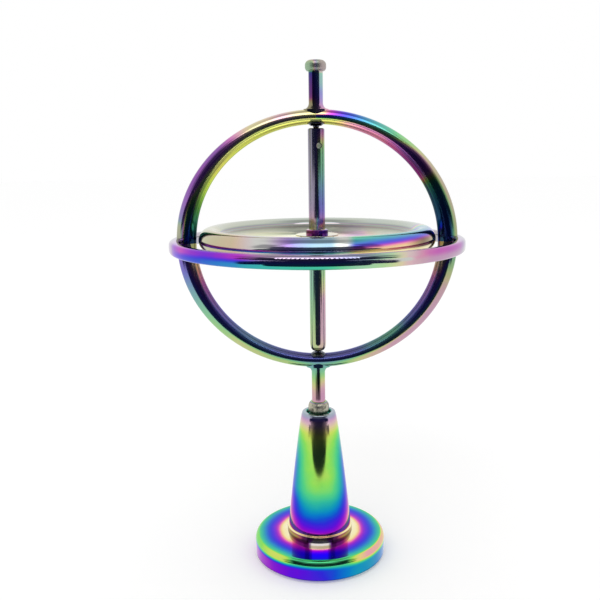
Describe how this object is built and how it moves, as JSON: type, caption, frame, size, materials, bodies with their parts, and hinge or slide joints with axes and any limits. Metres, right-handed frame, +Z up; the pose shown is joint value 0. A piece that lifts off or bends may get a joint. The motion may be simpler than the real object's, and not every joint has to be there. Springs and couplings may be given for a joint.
{
  "type": "gyroscope on stand",
  "caption": "Toy gyroscope with rainbow mirror finish: a rotor spins on a pivoted axle inside crossed rings, and its lower knob stands in the cup of a slim tapered stand.",
  "frame": {"origin": "centre of the stand's underside, on the common axis of stand, frame and rotor", "axes": "+Z up along the axis; at rest the upright ring lies in the XZ plane with +X to its right and -Y towards the front"},
  "size_m": [0.065, 0.065, 0.113],
  "materials": {
    "rainbow_stand": "polished, rainbow interference coating",
    "rainbow_frame": "polished, rainbow interference coating",
    "rainbow_axle": "polished, rainbow interference coating",
    "rainbow_rotor": "polished, rainbow interference coating",
    "dark_steel": "blued, turned",
    "bearing_brass": "turned",
    "zinc_screw": "zinc plated",
    "pad_foam": "matt foam"
  },
  "bodies": {
    "stand": {"base_pad": "pad_foam", "stand_base": "rainbow_stand", "stand_column": "rainbow_stand", "base_screw": "zinc_screw"},
    "gyroscope_frame": {"upright_ring": "rainbow_frame", "level_ring": "rainbow_frame", "left_ring_pin": "rainbow_frame", "right_ring_pin": "rainbow_frame", "top_finial": "rainbow_frame", "foot_finial": "rainbow_frame", "upper_pivot_screw": "dark_steel", "lower_pivot_screw": "dark_steel", "upper_lock_nut": "dark_steel", "lower_lock_nut": "dark_steel"},
    "rotor": {"axle": "rainbow_axle", "upper_bearing_cup": "bearing_brass", "lower_bearing_cup": "bearing_brass", "rotor_disc": "rainbow_rotor", "upper_hub_collar": "rainbow_rotor", "lower_hub_collar": "rainbow_rotor"}
  },
  "joints": [
    {"name": "gyroscope_swivel", "type": "hinge", "parent": "stand", "child": "gyroscope_frame", "pos_m": [0, 0, 0.03365], "axis": [0, 0, 1], "continuous": true},
    {"name": "rotor_spin", "type": "hinge", "parent": "gyroscope_frame", "child": "rotor", "pos_m": [0, 0, 0.07415], "axis": [0, 0, 1], "continuous": true}
  ]
}
